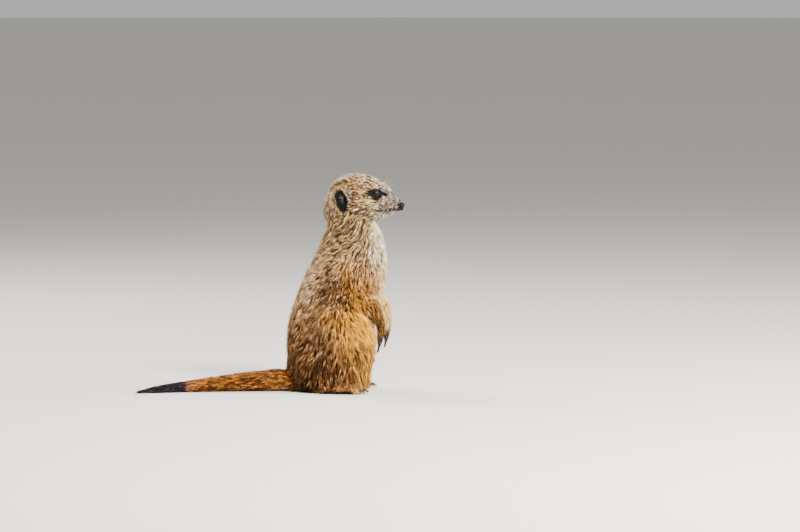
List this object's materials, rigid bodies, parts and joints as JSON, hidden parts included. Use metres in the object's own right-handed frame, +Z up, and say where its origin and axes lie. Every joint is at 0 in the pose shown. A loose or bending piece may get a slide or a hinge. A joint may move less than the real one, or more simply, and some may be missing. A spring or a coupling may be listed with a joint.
{
  "type": "meerkat",
  "caption": "Life-size meerkat sitting upright on its haunches with its arms hanging in front and its tail laid on the floor.",
  "frame": {"origin": "floor level, at the centre of the model's footprint box", "axes": "+X the way the animal faces, +Y its left side, +Z up"},
  "size_m": [0.299, 0.11, 0.2445],
  "materials": {
    "grizzled_coat": "short grizzled hair",
    "back_coat": "banded brown hair",
    "pale_coat": "short pale hair",
    "cream_coat": "short cream hair",
    "golden_coat": "golden hair",
    "grey_coat": "very short grey hair",
    "rufous_coat": "rufous hair",
    "black_coat": "black hair",
    "nose_skin": "moist dark skin",
    "eye": "wet and glossy",
    "claw": "smooth dark horn"
  },
  "bodies": {
    "root": {"head": "grizzled_coat", "muzzle": "grey_coat", "lower_jaw": "pale_coat", "nose": "nose_skin", "neck": "pale_coat", "chest": "grizzled_coat", "belly": "grizzled_coat", "rump": "back_coat", "eye_right": "eye", "ear_right": "black_coat", "upper_arm_right": "grizzled_coat", "forearm_right": "golden_coat", "hand_right": "cream_coat", "hand_claw_right_1": "claw", "hand_claw_right_2": "claw", "hand_claw_right_3": "claw", "hand_claw_right_4": "claw", "haunch_right": "golden_coat", "shank_right": "golden_coat", "foot_right": "cream_coat", "foot_claw_right_1": "claw", "foot_claw_right_2": "claw", "foot_claw_right_3": "claw", "foot_claw_right_4": "claw", "eye_left": "eye", "ear_left": "black_coat", "upper_arm_left": "grizzled_coat", "forearm_left": "golden_coat", "hand_left": "cream_coat", "hand_claw_left_1": "claw", "hand_claw_left_2": "claw", "hand_claw_left_3": "claw", "hand_claw_left_4": "claw", "haunch_left": "golden_coat", "shank_left": "golden_coat", "foot_left": "cream_coat", "foot_claw_left_1": "claw", "foot_claw_left_2": "claw", "foot_claw_left_3": "claw", "foot_claw_left_4": "claw", "tail_base": "rufous_coat", "tail_middle": "rufous_coat", "tail_tip": "black_coat"}
  },
  "joints": []
}
